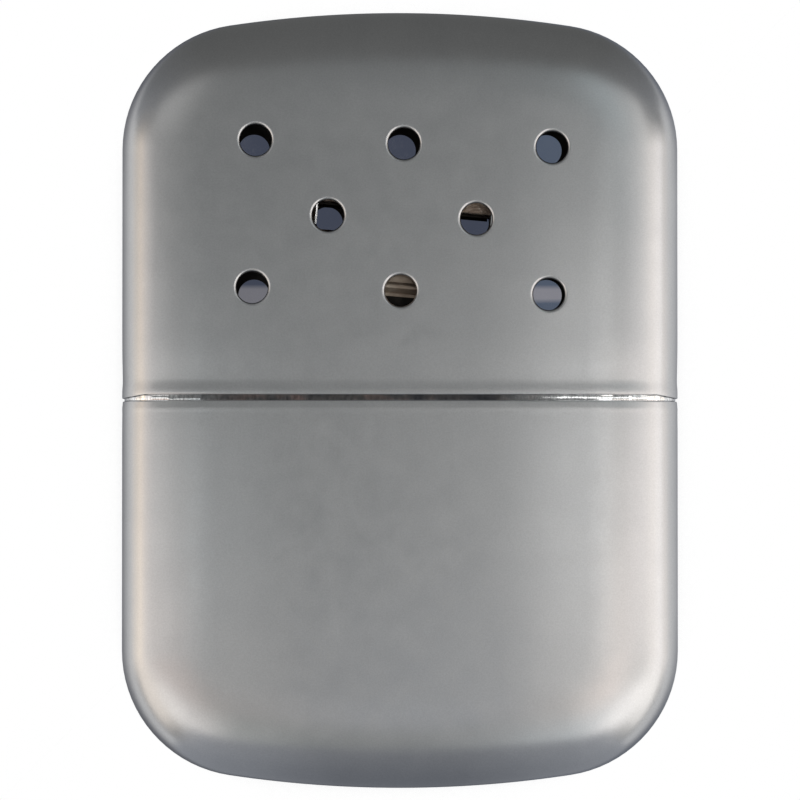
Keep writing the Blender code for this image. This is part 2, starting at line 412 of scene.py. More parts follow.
def mottled(name):
    look = looks[name]
    finish, tree, shader = newFinish(name)
    shader.inputs["Metallic"].default_value = look.get("metallic", 0.0)
    shader.inputs["Sheen Weight"].default_value = look.get("sheen", 0.0)
    tones = ramp(tree, cloud(tree, *look["mottling"]), *look["tones"])
    tree.links.new(tones, shader.inputs["Base Color"])
    roughness = look["roughness"]
    if isinstance(roughness, tuple):
        around, low, high = roughness
        roughness = spread(tree, cloud(tree, *around), low, high)
    feed(tree, shader.inputs["Roughness"], roughness)
    normal = None
    for around, depth in look.get("bumps", ()):
        normal = rough(tree, shader, cloud(tree, *around), depth, normal)
    return finish, tree, shader, tones


def alongAxis(tree, axis):
    place = addNode(tree, "TexCoord").outputs["Object"]
    return addNode(tree, "SeparateXYZ", Vector=place).outputs[axis]


def satinSteel():
    finish, tree, shader, tones = mottled("satinSteel")
    look = looks["satinSteel"]
    grain = cloud(tree, *look["grain"])
    speckle = spread(tree, grain, *look["speckle"])
    speckled = addNode(tree, "VectorMath", {"operation": "SCALE"}, Vector=tones, Scale=speckle)
    tree.links.new(speckled.outputs[0], shader.inputs["Base Color"])
    swells = []
    for axis, reach in (("X", look["swellAcross"]), ("Y", look["swellAlong"])):
        away = reckon(tree, "ABSOLUTE", alongAxis(tree, axis))
        swells.append(spread(tree, away, 1.0, 0.0, *reach, "SMOOTHERSTEP"))
    crown = rough(tree, shader, reckon(tree, "ADD", *swells), look["swell"])
    wave = rough(tree, shader, cloud(tree, *look["wave"]), look["waveDepth"], crown)
    rough(tree, shader, grain, look["grainDepth"], wave)
    return finish


def seamChrome():
    finish, tree, shader, paintedDarkMiddle = mottled("seamChrome")
    look = looks["seamChrome"]
    # painted reflection: the band is dark in its middle and plain chrome towards its ends
    right = alongAxis(tree, "X")
    away = reckon(tree, "MAXIMUM", right, reckon(tree, "MULTIPLY_ADD", right, -1.0, look["shift"]))
    plainEnds = spread(tree, away, 0.0, 1.0, *look["plainEndsReach"])
    colour = blend(tree, plainEnds, paintedDarkMiddle, look["plainEnds"])
    scratch = spread(tree, cloud(tree, *look["scratches"]), *look["scratched"])
    scratched = blend(tree, 1.0, colour, scratch, "MULTIPLY")
    tree.links.new(scratched, shader.inputs["Base Color"])
    return finish


def catalystFibre():
    finish, tree, shader, burnt = mottled("catalystFibre")
    look = looks["catalystFibre"]
    specks = addNode(tree, "TexVoronoi", Vector=onPiece(tree), Scale=look["speckScale"])
    pale = spread(tree, specks.outputs["Distance"], 1.0, 0.0, *look["speckReach"])
    tree.links.new(blend(tree, pale, burnt, look["speck"]), shader.inputs["Base Color"])
    return finish


finishes = {
    "satin": satinSteel(),
    "inside": mottled("paintedShadeInsideSteel")[0],
    "mirror": mottled("mirrorChrome")[0],
    "seam": seamChrome(),
    "tinted": mottled("tintedNickel")[0],
    "dull": mottled("dullNickel")[0],
    "paintedShadeBlack": mottled("paintedShadeBlackWire")[0],
    "catalyst": catalystFibre(),
    "cotton": mottled("cottonWool")[0],
    "felt": mottled("wickFelt")[0],
}
print("finishes ready")


# camera and floor

cameraPlace = {
    "place": (-0.0165, -0.0223, 0.814),
    "aim": (0.0, 0.0, 0.007),
    "lens": 285.8,
    "sensor": 36,
    "nearest": 0.01,
}


def addCamera():
    letGo()
    bpy.ops.object.camera_add(location=cameraPlace["place"])
    camera = bpy.context.object
    back = (camera.location - Vector(cameraPlace["aim"])).normalized()
    right = Vector((0, 1, 0)).cross(back).normalized()
    camera.rotation_euler = Matrix((right, back.cross(right), back)).transposed().to_euler()
    camera.data.lens = cameraPlace["lens"]
    camera.data.sensor_width = cameraPlace["sensor"]
    camera.data.clip_start = cameraPlace["nearest"]
    bpy.context.scene.camera = camera


floorLook = {
    "size": 6.0,
    "drop": 0.00005,                    # how far under the part it lies
    "paint": (0.80, 0.81, 0.83),
    "roughness": 0.9,
    "specular": 0.1,
    "white": 1.0,
    "samples": 12,
    "reach": 0.030,                     # how far round the object its shade spreads
    "shade": (0.16, 0.50),              # openness where it is darkest and where it is white
    "mirroredShade": (0.0, 0.9, 0.30, 1.0),    # the same in mirrors: two glows, two opennesses
    "mirroredPower": 1.6,
    # the metal mirrors a floor that is darker close round the object, most of all at its corners
    "darkRing": (0.0060, 0.0270),       # from and to how far out
    "darkSides": (0.70, 1.00, -0.01, 0.01),    # left, right, and where the one becomes the other
    "darkCorners": 0.20,
    "cornerReach": (0.026, 0.044),
    "measured": 0.1,                    # how far out the distance from it is measured
    # its painted shadow under the object, as it shows through the vents, to the left and to the
    # right
    "paintedShadow": (0.050, 0.058, 0.084),
    "paintedShadowRight": (0.078, 0.098, 0.138),
    "paintedShadowPale": (0.156, 0.156, 0.176),
    "paintedShadowPaleRight": (0.220, 0.220, 0.248),
    "rightReach": (0.011, 0.018),
    "paleFrom": 0.01265,                # a paler stripe crosses it under the lowest vents
    "paleTo": 0.0147,
    "paleSoft": 0.0003,
    "paleEnds": (0.0225, 0.0240),
    "paleWedge": 0.0134,                # and widens a little to the left
}


def addFloor():
    look = floorLook
    letGo()
    bpy.ops.mesh.primitive_plane_add(size=look["size"], location=(0, 0, -look["drop"]))
    floor = setDown(bpy.context.object, "studioFloor")
    finish, tree, shader = newFinish("paleFloor")
    shader.inputs["Base Color"].default_value = (*look["paint"], 1.0)
    shader.inputs["Roughness"].default_value = look["roughness"]
    shader.inputs["Specular IOR Level"].default_value = look["specular"]

    place = addNode(tree, "SeparateXYZ", Vector=onPiece(tree)).outputs
    sideways = reckon(tree, "ABSOLUTE", place["X"])
    lengthways = reckon(tree, "ABSOLUTE", place["Y"])
    wedge = reckon(tree, "MULTIPLY_ADD", place["X"], -look["paleWedge"], place["Y"])
    low, high, soft = look["paleFrom"], look["paleTo"], look["paleSoft"]
    stripe = spread(tree, sideways, 1.0, 0.0, *look["paleEnds"])
    for edge in (
        spread(tree, wedge, 0.0, 1.0, low - soft, low + soft),
        spread(tree, place["Y"], 1.0, 0.0, high - soft, high + soft),
    ):
        stripe = reckon(tree, "MULTIPLY", stripe, edge)
    # under the object the floor is painted as shadow, paler to the right and in a stripe
    toRight = spread(tree, place["X"], 0.0, 1.0, *look["rightReach"])
    dark = blend(tree, toRight, look["paintedShadow"], look["paintedShadowRight"])
    pale = blend(tree, toRight, look["paintedShadowPale"], look["paintedShadowPaleRight"])
    paintedShadow = blend(tree, stripe, dark, pale)

    rays = addNode(tree, "LightPath").outputs
    openness = addNode(
        tree, "AmbientOcclusion", {"samples": look["samples"]}, Distance=look["reach"]
    ).outputs["AO"]
    seen = spread(tree, openness, 0.0, 1.0, *look["shade"])
    beside = []
    for out, half in ((sideways, shell["width"] / 2), (lengthways, shell["length"] / 2)):
        core = half - shell["cornerRadius"]
        beside.append(spread(tree, out, 0.0, look["measured"], core, core + look["measured"]))
    reach = addNode(tree, "CombineXYZ", X=beside[0], Y=beside[1]).outputs[0]
    reach = addNode(tree, "VectorMath", {"operation": "LENGTH"}, Vector=reach).outputs["Value"]
    near, far = (shell["cornerRadius"] + edge for edge in look["darkRing"])
    sides = spread(tree, place["X"], *look["darkSides"])
    darkest = spread(tree, lengthways, sides, look["darkCorners"], *look["cornerReach"])
    ring = spread(tree, reach, darkest, 1.0, near, far)
    mirrored = spread(tree, openness, *look["mirroredShade"])
    mirrored = reckon(tree, "POWER", mirrored, look["mirroredPower"])
    mirrored = reckon(tree, "MULTIPLY", mirrored, ring)
    sky = blend(tree, rays["Is Camera Ray"], mirrored, seen)
    colour = blend(tree, sky, paintedShadow, (1.0, 1.0, 1.0))
    glow = addNode(tree, "Emission", Color=colour, Strength=look["white"])
    shown = reckon(tree, "MAXIMUM", rays["Is Camera Ray"], rays["Is Glossy Ray"])
    shown = reckon(tree, "MAXIMUM", shown, rays["Is Transmission Ray"])
    either = addNode(tree, "MixShader", Fac=shown)
    tree.links.new(shader.outputs[0], either.inputs[1])
    tree.links.new(glow.outputs[0], either.inputs[2])
    tree.links.new(either.outputs[0], tree.nodes["Material Output"].inputs["Surface"])
    wear(floor, finish)


# two grey cards stand just outside the picture and keep the white floor off the ends. Each fades
# to a paler grey between two distances from its middle.

cards = {
    "far": {
        "place": (-0.008, 0.0530, 0.016),
        "size": (0.150, 0.034),
        "grey": (0.158, 0.160, 0.158),
        "endGrey": (0.30, 0.31, 0.33),
        "fade": (0.030, 0.066),
    },
    "near": {
        "place": (0.0, -0.0530, 0.012),
        "size": (0.072, 0.026),
        "grey": (0.205, 0.218, 0.245),
        "endGrey": (0.42, 0.44, 0.48),
        "fade": (0.008, 0.036),
    },
}


def addCards():
    for name, card in cards.items():
        letGo()
        bpy.ops.mesh.primitive_plane_add(
            size=1, location=card["place"], rotation=(math.pi / 2, 0, 0)
        )
        plane = bpy.context.object
        plane.scale = (*card["size"], 1)
        setDown(plane, name + "Card")
        finish, tree = newFinish(name + "CardGrey")[:2]
        away = reckon(tree, "ABSOLUTE", alongAxis(tree, "X"))
        ends = spread(tree, away, 0.0, 1.0, *card["fade"])
        colour = blend(tree, ends, card["grey"], card["endGrey"])
        glow = addNode(tree, "Emission", Color=colour, Strength=1.0)
        tree.links.new(glow.outputs[0], tree.nodes["Material Output"].inputs["Surface"])
        wear(plane, finish)
        plane.visible_camera = False
        plane.visible_shadow = False


# light: a small white tent with a dark slot over it for the lens, brighter on the right and
# nearer side. A lamp's glow is the brightness of its white face.

tent = {"air": 0.245, "airTint": (0.97, 1.0, 1.0, 1.0), "top": 0.25, "reach": 0.32}

topLamps = {
    # from and to across, from and to along, glow, tint
    "stripRight": ((0.050, 0.080), (-0.050, 0.000), 1.90, (0.99, 1.00, 0.99)),
    "stripRightNear": ((0.050, 0.080), (-0.120, -0.050), 0.55, (1.00, 0.92, 0.82)),
    "stripRightEnd": ((0.050, 0.150), (-0.320, -0.120), 0.73, (0.92, 0.98, 1.00)),
    "panelRight": ((0.080, 0.150), (-0.050, 0.000), 0.96, (1.00, 0.93, 0.87)),
    "panelRightNear": ((0.080, 0.150), (-0.120, -0.050), 1.49, (1.00, 0.83, 0.74)),
    "panelRightFar": ((0.080, 0.150), (0.060, 0.320), 0.39, (0.79, 0.95, 1.00)),
    "wingRight": ((0.150, 0.320), (-0.050, 0.000), 1.56, (1.00, 0.90, 0.86)),
    "wingRightNear": ((0.150, 0.320), (-0.120, -0.050), 0.52, (1.00, 0.96, 0.88)),
    "wingRightEnd": ((0.150, 0.320), (-0.320, -0.120), 1.81, (1.00, 0.95, 0.91)),
    "wingRightEdge": ((0.235, 0.320), (0.010, 0.320), 0.80, (1.00, 0.97, 0.93)),
    "wingLeftFar": ((-0.320, -0.110), (0.085, 0.260), 0.36, (1.00, 0.97, 0.94)),
    "wingRightFar": ((0.150, 0.235), (0.010, 0.320), 0.40, (0.97, 1.00, 1.00)),
    "slotNear": ((0.000, 0.020), (-0.120, -0.050), 0.50, (0.53, 0.72, 1.00)),
    "stripLeft": ((-0.080, -0.045), (-0.050, 0.000), 0.88, (0.93, 0.99, 1.00)),
    "stripLeftNear": ((-0.045, -0.020), (-0.120, -0.050), 0.60, (1.00, 0.87, 0.78)),
    "stripLeftEnd": ((-0.080, -0.045), (-0.320, -0.120), 0.31, (0.84, 1.00, 0.90)),
    "panelLeft": ((-0.150, -0.080), (-0.050, 0.000), 0.67, (0.97, 1.00, 1.00)),
    "panelLeftEnd": ((-0.150, -0.080), (-0.320, -0.120), 0.69, (1.00, 0.94, 0.90)),
    "wingLeft": ((-0.320, -0.150), (-0.050, 0.000), 0.92, (1.00, 1.00, 0.98)),
    "wingLeftNear": ((-0.320, -0.080), (-0.120, -0.050), 0.60, (1.00, 0.76, 0.66)),
    "wingLeftEnd": ((-0.320, -0.150), (-0.320, -0.120), 1.28, (1.00, 0.94, 0.89)),
    # thin tubes that the polished seam and the burner's edges mirror
    "tubeRight": ((0.030, 0.320), (0.0035, 0.0100), 1.80, (1.00, 1.00, 1.00)),
    "tubeRightFar": ((0.057, 0.084), (0.018, 0.034), 3.00, (1.00, 0.97, 0.93)),
    "tubeLeft": ((-0.320, -0.170), (0.005, 0.011), 1.70, (1.00, 1.00, 1.00)),
}

wallLamps = {
    # side, from and to along, from and to up, glow, tint
    "wallRightLow": (1, (-0.10, 0.00), (0.00, 0.08), 1.05, (1.00, 0.90, 0.82)),
    "wallRightLowFar": (1, (0.00, 0.10), (0.00, 0.08), 0.75, (1.00, 0.90, 0.82)),
    "wallRight": (1, (-0.10, 0.10), (0.08, 0.15), 1.61, (1.00, 0.95, 0.93)),
    "wallRightUpper": (1, (-0.10, 0.10), (0.15, 0.25), 1.41, (1.00, 0.91, 0.84)),
    "wallRightNear": (1, (-0.32, -0.10), (0.05, 0.25), 1.50, (1.00, 0.95, 0.90)),
    "wallLeftLow": (-1, (-0.10, 0.00), (0.00, 0.08), 0.98, (1.00, 0.88, 0.76)),
    "wallLeftLowFar": (-1, (0.00, 0.10), (0.00, 0.08), 0.66, (1.00, 0.88, 0.76)),
    "wallLeft": (-1, (-0.10, 0.00), (0.08, 0.15), 1.62, (1.00, 0.84, 0.68)),
    "wallLeftFar": (-1, (0.00, 0.10), (0.08, 0.15), 1.12, (1.00, 0.80, 0.62)),
    "wallLeftUpper": (-1, (-0.10, 0.00), (0.15, 0.25), 0.90, (1.00, 0.93, 0.91)),
    "wallLeftUpperFar": (-1, (0.00, 0.10), (0.15, 0.25), 0.68, (1.00, 0.93, 0.91)),
    "wallLeftNear": (-1, (-0.32, -0.10), (0.05, 0.25), 1.18, (1.00, 0.88, 0.77)),
    "tubeLeftDown": (-1, (0.008, 0.014), (0.02, 0.25), 2.20, (1.00, 1.00, 1.00)),
}

def hangLamp(name, place, facing, size, glow, tint):
    bpy.ops.object.select_all(action="DESELECT")
    bpy.ops.object.light_add(type="AREA", location=place, rotation=facing)
    lamp = bpy.context.object
    lamp.name = name
    lamp.data.shape = "RECTANGLE"
    lamp.data.size, lamp.data.size_y = size
    lamp.data.color = tint
    lamp.data.energy = math.pi * size[0] * size[1] * glow
    lamp.visible_camera = False


def addLamps():
    for name, (across, along, glow, tint) in topLamps.items():
        place = (sum(across) / 2, sum(along) / 2, tent["top"])
        size = (across[1] - across[0], along[1] - along[0])
        hangLamp(name, place, (0, 0, 0), size, glow, tint)
    for name, (side, along, up, glow, tint) in wallLamps.items():
        place = (side * tent["reach"], sum(along) / 2, sum(up) / 2)
        size = (up[1] - up[0], along[1] - along[0])
        hangLamp(name, place, (0, side * math.pi / 2, 0), size, glow, tint)
    world = bpy.data.worlds.new("studioAir")
    bpy.context.scene.world = world
    world.use_nodes = True
    tree = world.node_tree
    air = tree.nodes["Background"]
    air.inputs["Color"].default_value = tent["airTint"]
    # the air is white where the camera looks past the floor
    seen = addNode(tree, "LightPath").outputs["Is Camera Ray"]
    tree.links.new(spread(tree, seen, tent["air"], 1.0, 0.0, 1.0), air.inputs["Strength"])


# the two drawn shells

shell = {
    "width": 0.0706,
    "length": 0.0985,
    "depth": 0.0140,
    "shoulder": 0.0120,       # the round edge eases into the flat face this far in
    "fullness": 2.5,          # 2 would be a plain ellipse
    "wall": 0.0005,
    "cornerRadius": 0.0160,
    "endRadius": 0.1450,
    "edgeSteps": 40,
    "cornerSteps": 18,
    "endSteps": 28,
    "lipRound": 0.00010,
    "lipRoundSteps": 3,
    "lipReach": 0.00001,
    # the lid's lip droops at its sides, from so far inside them, over so much, in so many steps
    "droopFrom": 0.0028,
    "droopOver": 0.0026,
    "droopSteps": 10,
}

lidLip = {
    "start": 0.00054,
    # distance from the lip and how far the sheet is tucked in there
    "rings": (
        (0.0075, 0.0),
        (0.0068, 0.000002),
        (0.0060, 0.000007),
        (0.0052, 0.000016),
        (0.0045, 0.000027),
        (0.0038, 0.000041),
        (0.0030, 0.000057),
        (0.0020, 0.000077),
        (0.0016, 0.000075),
        (0.0012, 0.000053),
        (0.0008, 0.000021),
        (0.0005, 0.000006),
        (0.0003, 0.000003),
        (0.0, 0.000010),
    ),
    "sideDrop": 0.00040,
    "dropReach": 0.0003,      # what lies this near the lip droops with it
}

tankLip = {
    "start": 0.00024,
    "rings": (
        (0.0040, 0.0),
        (0.0028, 0.000008),
        (0.0016, 0.000018),
        (0.0013, 0.000014),
        (0.0010, 0.000008),
        (0.0008, 0.000018),
        (0.0005, 0.000044),
        (0.0002, 0.000070),
        (0.0, 0.000084),
    ),
}

vents = {
    "rows": (3, 2, 3),
    "across": 0.01873,
    "down": 0.0093,
    "centre": (0.00015, 0.0229),
    "radius": 0.0020,
    "punchDepth": 0.004,
    "edgeRound": 0.00040,
    "edgeSteps": 5,
    "steps": 64,
    "frontTurn": -1.3,
    "backTurn": 0.0,
    # an edge belongs to a vent within this of the face and of the punch
    "faceReach": 0.00001,
    "punchReach": 1.02,
}

middle = shell["depth"] / 2
flatX = shell["width"] / 2 - shell["shoulder"]


def drawSection(y, inset=0.0, closed=False):
    # the section of the shells from the back face round the right side to the front face
    across, deep = shell["shoulder"] - inset, middle - inset
    power = 2 / shell["fullness"]
    points = []
    for step in range(shell["edgeSteps"] + 1):
        turn = math.pi * (step / shell["edgeSteps"] - 0.5)
        rise = math.copysign(abs(math.sin(turn)) ** power, turn)
        points.append((flatX + across * abs(math.cos(turn)) ** power, middle + deep * rise))
    if closed:
        points += [(-x, z) for x, z in reversed(points)]
        points.append(points[0])
    (x, z), *others = points
    piece = startLine((x, y, z), "sectionDraft")
    for nextX, nextZ in others:
        pull(nextX - x, 0, nextZ - z)
        x, z = nextX, nextZ
    mergeDoubles()
    return piece


def drawHalf(lip):
    # the round edge runs up one side, round the corners, over the end and down again
    cornerX = shell["width"] / 2 - shell["cornerRadius"]
    archY = shell["length"] / 2 - shell["endRadius"]
    cornerY = archY + math.sqrt((shell["endRadius"] - shell["cornerRadius"]) ** 2 - cornerX**2)
    lean = math.degrees(math.atan2(cornerY - archY, cornerX))
    firstRing = lip["start"] + lip["rings"][0][0]

    piece = drawSection(firstRing)
    pull(0, cornerY - firstRing, 0)
    sweep(lean, shell["cornerSteps"], (cornerX, cornerY, 0), (0, 0, 1))
    sweep(180 - 2 * lean, shell["endSteps"], (0, archY, 0), (0, 0, 1))
    sweep(lean, shell["cornerSteps"], (-cornerX, cornerY, 0), (0, 0, 1))
    pull(0, firstRing - cornerY, 0)

    # front and back faces
    for level in (0, shell["depth"]):
        pick(piece, "VERT", at(z=level, y=firstRing))
        bpy.ops.mesh.edge_face_add()
        pick(piece, "EDGE", at(z=level))
        bpy.ops.mesh.edge_face_add()
    return piece


def shapeLip(piece, lip):
    # ring by ring to the lip, each tucked in a little
    half, reach = middle, shell["width"] / 2
    lastOut, lastTuck = lip["rings"][0]
    pick(piece, "EDGE", at(y=lip["start"] + lastOut))
    for out, tuck in lip["rings"][1:]:
        pull(0, out - lastOut, 0)
        narrow = (reach - tuck) / (reach - lastTuck)
        flatter = (half - tuck) / (half - lastTuck)
        bpy.ops.transform.resize(
            value=(narrow, 1, flatter), center_override=(0, lip["start"] + out, half)
        )
        lastOut, lastTuck = out, tuck
    closeUp()


def dropSides(piece, drop, test):
    # eased down in small steps where the shell turns round its sides
    steps = shell["droopSteps"]
    for step in range(steps):
        edge = shell["width"] / 2 - shell["droopFrom"] + shell["droopOver"] * step / steps
        pick(piece, "VERT", lambda point: abs(point.x) > edge and test(point))
        bpy.ops.transform.translate(value=(0, -drop / steps, 0))
    closeUp()


def ventPlaces():
    # front and back, each pattern turned a little about its middle
    places = []
    for level, turn in ((shell["depth"], vents["frontTurn"]), (0, vents["backTurn"])):
        turn = math.radians(turn)
        for row, count in enumerate(vents["rows"]):
            y = vents["down"] * (1 - row)
            for column in range(count):
                x = vents["across"] * (column - (count - 1) / 2)
                places.append((
                    vents["centre"][0] + x * math.cos(turn) - y * math.sin(turn),
                    vents["centre"][1] + x * math.sin(turn) + y * math.cos(turn),
                    level,
                ))
    return places


def punchVents(piece):
    # one punch, copied to every place
    punches = []
    for place in ventPlaces():
        letGo()
        bpy.ops.mesh.primitive_cylinder_add(
            vertices=vents["steps"],
            radius=vents["radius"],
            depth=vents["punchDepth"],
            location=place,
        )
        punches.append(bpy.context.object)
    letGo()
    for punch in punches:
        punch.select_set(True)
    bpy.context.view_layer.objects.active = punches[0]
    bpy.ops.object.join()
    cutAway(piece, setDown(bpy.context.object, "ventPunch"))

    # the punch leaves a rounded edge outside
    openUp(piece)
    bpy.ops.mesh.select_all(action="DESELECT")
    for x, y, level in ventPlaces():
        pick(
            piece,
            "EDGE",
            lambda point: abs(point.z - level) < vents["faceReach"]
            and math.hypot(point.x - x, point.y - y) < vents["radius"] * vents["punchReach"],
            more=True,
        )
    roundOff(vents["edgeRound"], vents["edgeSteps"])


def giveWall(piece):
    faceOut(piece)
    # the inner faces get the inside finish, which is painted dark as shade
    wear(piece, finishes["satin"], finishes["inside"])
    thicken(piece, shell["wall"], material_offset=1, material_offset_rim=0)


def roundLip(piece, test):
    pick(piece, "EDGE", test)
    roundOff(shell["lipRound"], shell["lipRoundSteps"], clamp_overlap=True)


def makeLid():
    start = lidLip["start"]
    lid = drawHalf(lidLip)
    shapeLip(lid, lidLip)
    giveWall(lid)
    roundLip(lid, lambda point: point.y < start + shell["lipReach"])
    dropSides(lid, lidLip["sideDrop"], lambda point: point.y < start + lidLip["dropReach"])
    punchVents(lid)
    smoothOver(lid)
    setDown(lid, "lidSkin")
    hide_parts("lid_shell")
    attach(lid, "lid")
    print("lid made")


def makeTank():
    tank = drawHalf(tankLip)
    shapeLip(tank, tankLip)
    openUp(tank)
    pickAll()
    bpy.ops.transform.resize(value=(1, -1, 1), center_override=(0, 0, 0))
    closeUp()
    giveWall(tank)
    roundLip(tank, lambda point: point.y > -tankLip["start"] - shell["lipReach"])
    smoothOver(tank)
    setDown(tank, "tankSkin")
    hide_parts("tank_shell")
    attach(tank, "tank")
    print("tank made")


# racetrack pieces: a profile drawn point by point, then swept round a straight core

arcStep = 12              # degrees
fewestArcSteps = 4


def drawProfile(core, path, lift=0.0):
    # each move is a straight run to (radius, along), or a turn of (degrees, centre's radius,
    # centre's along)
    (radius, along), *moves = path
    piece = startLine((core, lift + along, middle - radius), "profileDraft")
    for move in moves:
        if len(move) == 2:
            pull(0, move[1] - along, radius - move[0])
            radius, along = move
            continue
        degrees, centreRadius, centreAlong = move
        steps = max(fewestArcSteps, round(abs(degrees) / arcStep))
        sweep(degrees, steps, (core, lift + centreAlong, middle - centreRadius), (1, 0, 0))
        turn = math.radians(degrees)
        out, up = radius - centreRadius, along - centreAlong
        radius = centreRadius + out * math.cos(turn) - up * math.sin(turn)
        along = centreAlong + out * math.sin(turn) + up * math.cos(turn)
    mergeDoubles()
    return piece


def sweepRacetrack(piece, core, steps):
    pickAll()
    sweep(-180, steps, (core, 0, middle), (0, 1, 0))
    pull(-2 * core, 0, 0)
    sweep(-180, steps, (-core, 0, middle), (0, 1, 0))
    pull(2 * core, 0, 0)
    faceOut(piece)


neck = {
    "inset": 0.0008,          # how far inside the shells' outer face it stands
    "wall": 0.0005,
    "rise": 0.0080,
    "sink": -0.0060,
    "edgeRound": 0.0014,
    "edgeSteps": 7,
    "softness": 0.00008,
    "holeReach": 0.002,
    "holeSteps": 30,
    "bandInset": 0.0003,
    "bandWall": 0.0006,
    "bandLow": -0.00020,
    "bandHigh": 0.00050,
    "bandRound": 0.00006,
}

mouth = {
    "core": 0.0078,
    "radius": 0.0039,
    "wall": 0.0006,
    "bottom": 0.0067,
    "top": 0.0175,
    "flangeRadius": 0.0052,
    "flangeWall": 0.0005,
    "play": 0.0003,
    "steps": 36,
}


def makeNeck():
    rise = neck["rise"]
    cup = drawSection(neck["sink"], neck["inset"], closed=True)
    pickAll()
    pull(0, rise - neck["sink"], 0)
    bpy.ops.mesh.edge_face_add()
    pick(cup, "EDGE", at(y=rise))
    roundOff(neck["edgeRound"], neck["edgeSteps"], clamp_overlap=True)
    faceOut(cup)
    thicken(cup, neck["wall"])
    radius = mouth["radius"] + mouth["play"]
    low, high = rise - neck["holeReach"], rise + neck["holeReach"]
    hole = drawProfile(mouth["core"], ((radius, low), (radius, high)))
    sweepRacetrack(hole, mouth["core"], neck["holeSteps"])
    capEnds(hole, low, high)
    cutAway(cup, hole)
    softenEdges(cup, neck["softness"])
    smoothOver(cup)
    wear(cup, finishes["mirror"])
    setDown(cup, "neckCup")
    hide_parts("neck_collar")
    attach(cup, "tank")

    # the polished band that shows between the two shells
    low, high = neck["bandLow"], neck["bandHigh"]
    band = drawSection(low, neck["bandInset"], closed=True)
    pickAll()
    pull(0, high - low, 0)
    faceOut(band)
    thicken(band, neck["bandWall"])
    softenEdges(band, neck["bandRound"])
    dropSides(band, lidLip["sideDrop"], lambda point: point.y > (low + high) / 2)
    smoothOver(band)
    wear(band, finishes["seam"])
    setDown(band, "seamBand")
    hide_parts("neck_collar")
    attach(band, "tank")
    print("neck made")


def makeMouth():
    radius, wall, flange = mouth["radius"], mouth["wall"], mouth["flangeRadius"]
    bottom, top = mouth["bottom"], mouth["top"]
    ferrule = drawProfile(
        mouth["core"],
        (
            (flange, bottom),
            (flange, bottom + mouth["flangeWall"]),
            (radius, bottom + mouth["flangeWall"]),
            (radius, top - wall / 2),
            (180, radius - wall / 2, top - wall / 2),
            (radius - wall, bottom),
            (flange, bottom),
        ),
    )
    sweepRacetrack(ferrule, mouth["core"], mouth["steps"])
    smoothOver(ferrule)
    # the ferrule is painted near black as the shade under the burner
    wear(ferrule, finishes["paintedShadeBlack"])
    setDown(ferrule, "fillerFerrule")
    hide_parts("filler_mouth")
    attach(ferrule, "tank")
    print("mouth made")


burner = {
    "core": 0.0083,
    "radius": 0.0047,
    "wall": 0.0005,
    "steps": 36,
    "seat": (0.0117, 0.0175),
    "lean": -5.0,
    "skirtDrop": -0.0056,
    "rise": 0.0116,
    "edgeRound": 0.0009,
    "lipReach": 0.0012,
    "lipWidth": 0.00031,
    "lipOut": 0.00015,
    "flank": (0.00020, 0.00042),
    "beadCentre": (-0.000117, 0.001298),
    "beadTurn": 130,
    "window": (-0.0110, 0.0021, 0.0110, 0.0100),
    "windowCorner": 0.0008,
    "windowSteps": 8,
    "windowEdge": 0.00026,
    "windowRoll": 0.000075,
    # how near an edge of the opening has to be to the face, to the outline and to its own level
    "faceReach": 0.00002,
    "outlineReach": 0.00001,
    "levelReach": 0.00004,
}


def leanOver(piece):
    openUp(piece)
    pickAll()
    bpy.ops.transform.rotate(
        value=-math.radians(burner["lean"]),
        orient_axis="Z",
        center_override=(*burner["seat"], middle),
    )
    closeUp()


def roundWindows(case):
    # the punched windows' outer edges are rolled smooth
    left, sill, right, head = burner["window"]
    lift, corner = burner["seat"][1], burner["windowCorner"]
    reach, centreX, centreY = (right - left) / 2, (right + left) / 2, lift + (sill + head) / 2
    spanX, spanY = reach - corner, (head - sill) / 2 - corner

    def onEdge(point):
        out = math.hypot(max(abs(point.x) - burner["core"], 0), point.z - middle)
        x = max(abs(point.x - centreX) - spanX, 0)
        y = max(abs(point.y - centreY) - spanY, 0)
        onOutline = abs(math.hypot(x, y) - corner) < burner["outlineReach"]
        return out > burner["radius"] - burner["faceReach"] and onOutline

    pick(case, "EDGE", onEdge)
    roundOff(burner["windowEdge"], 1, material=1)
    # the upright edges are rolled outward, so that they catch the light
    level = math.sqrt(burner["radius"] ** 2 - (reach - burner["core"]) ** 2) - burner["windowEdge"]
    for side in (-1, 1):
        pick(
            case,
            "VERT",
            lambda point: abs(abs(point.x - centreX) - reach) < touching
            and abs((point.z - middle) * side - level) < burner["levelReach"],
        )
        bpy.ops.transform.translate(value=(0, 0, side * burner["windowRoll"]))
    closeUp()


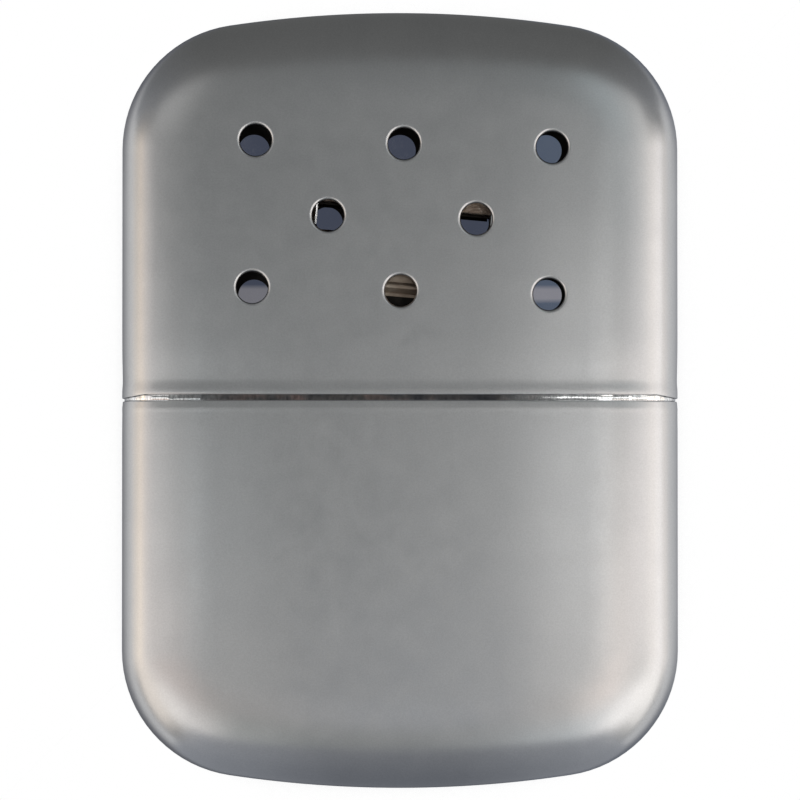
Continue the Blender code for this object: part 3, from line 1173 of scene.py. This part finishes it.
def makeBurner():
    core, lift = burner["core"], burner["seat"][1]
    radius, wall, rise, edge = (burner[key] for key in ("radius", "wall", "rise", "edgeRound"))
    low, lipWidth, lipOut = (burner[key] for key in ("skirtDrop", "lipWidth", "lipOut"))
    flankOut, flankRise = burner["flank"]
    beadOut, beadRise = burner["beadCentre"]
    lip = radius - burner["lipReach"]
    case = drawProfile(
        core,
        (
            (radius + lipOut, low),
            (radius + lipOut, low + lipWidth),
            (90, radius, low + lipWidth),
            (radius + flankOut, low + lipWidth + lipOut + flankRise),
            (burner["beadTurn"], radius + beadOut, low + beadRise),
            (radius, rise - edge),
            (90, radius - edge, rise - edge),
            (lip, rise),
            (180, lip, rise - wall / 2),
            (radius - edge, rise - wall),
            (-90, radius - edge, rise - edge),
            (radius - wall, low),
            (radius + lipOut, low),
        ),
        lift,
    )
    sweepRacetrack(case, core, burner["steps"])

    left, sill, right, head = burner["window"]
    letGo()
    bpy.ops.mesh.primitive_cube_add(
        size=1, location=((left + right) / 2, lift + (sill + head) / 2, middle)
    )
    opening = bpy.context.object
    opening.scale = (right - left, head - sill, 4 * radius)
    setDown(opening, "windowOpening")
    openUp(opening)
    bpy.ops.mesh.select_all(action="DESELECT")
    for cornerX in (left, right):
        for cornerY in (lift + sill, lift + head):
            pick(opening, "EDGE", at(x=cornerX, y=cornerY), more=True)
    roundOff(burner["windowCorner"], burner["windowSteps"])
    cutAway(case, opening)
    wear(case, finishes["tinted"], finishes["mirror"])
    roundWindows(case)
    leanOver(case)
    smoothOver(case)
    setDown(case, "burnerCase")
    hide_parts("burner_frame")
    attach(case, "burner")
    print("burner made")


mat = {
    "radius": 0.0041,
    "bottom": 0.00574,
    "top": 0.0109,
    "round": 0.0004,
    "steps": 36,
    "nap": (0.00016, 0.0005, 0.00016),   # voxel, size and depth
    "wireDrop": 0.0002,                  # the wires hang a little under the pad's weight
    "wires": {"mat_wire_front": "padWireFront", "mat_wire_rear": "padWireRear"},
}


def makeMat():
    # the glass-wool pad: a thick racetrack block with a nap, resting on the wires
    name, core, lift = "catalystWool", burner["core"], burner["seat"][1]
    low, high, small, radius = (mat[key] for key in ("bottom", "top", "round", "radius"))
    pad = drawProfile(
        core,
        (
            (radius - small, low),
            (90, radius - small, low + small),
            (radius, high - small),
            (90, radius - small, high - small),
        ),
        lift,
    )
    sweepRacetrack(pad, core, mat["steps"])
    capEnds(pad, lift + low, lift + high)
    giveNap(pad, name, *mat["nap"])
    leanOver(pad)
    wear(pad, finishes["catalyst"])
    setDown(pad, name)
    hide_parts("catalyst_mat")
    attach(pad, "burner")

    lean, drop = math.radians(burner["lean"]), mat["wireDrop"]
    for nodeName, name in mat["wires"].items():
        wire = copySolid(nodeName, name)
        openUp(wire)
        pickAll()
        bpy.ops.transform.translate(value=(drop * math.sin(lean), -drop * math.cos(lean), 0))
        closeUp()
        # the wires are painted near black as shade
        wear(wire, finishes["paintedShadeBlack"])
        setDown(wire, name)
        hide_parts(nodeName)
        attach(wire, "burner")
    print("pad and wires made")


# soft parts: the solid's own form, remeshed finely and given its nap

soft = {
    # node: name, finish, body, slot, voxel, nap size, nap depth
    "cotton_batt": ("cottonWadding", "cotton", "tank", "cotton", 0.00070, 0.0030, 0.00060),
    "felt_wick": ("feltWick", "felt", "tank", "felt", 0.00040, 0.0012, 0.00025),
}


def makeSoft(nodeName):
    name, finish, body, slotName, *nap = soft[nodeName]
    piece = copySolid(nodeName, name)
    faceOut(piece)
    giveNap(piece, name, *nap)
    wear(piece, finishes[finish])
    setDown(piece, name)
    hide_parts(nodeName)
    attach(piece, body)


addCamera()
addFloor()
addCards()
addLamps()
makeLid()
makeTank()
makeNeck()
makeMouth()
makeBurner()
makeMat()
for nodeName in soft:
    makeSoft(nodeName)
print("soft parts made")

for slot in nodes["diffuser_cup"].material_slots:
    slot.material = finishes["dull"]

bpy.context.scene.view_settings.view_transform = "Standard"
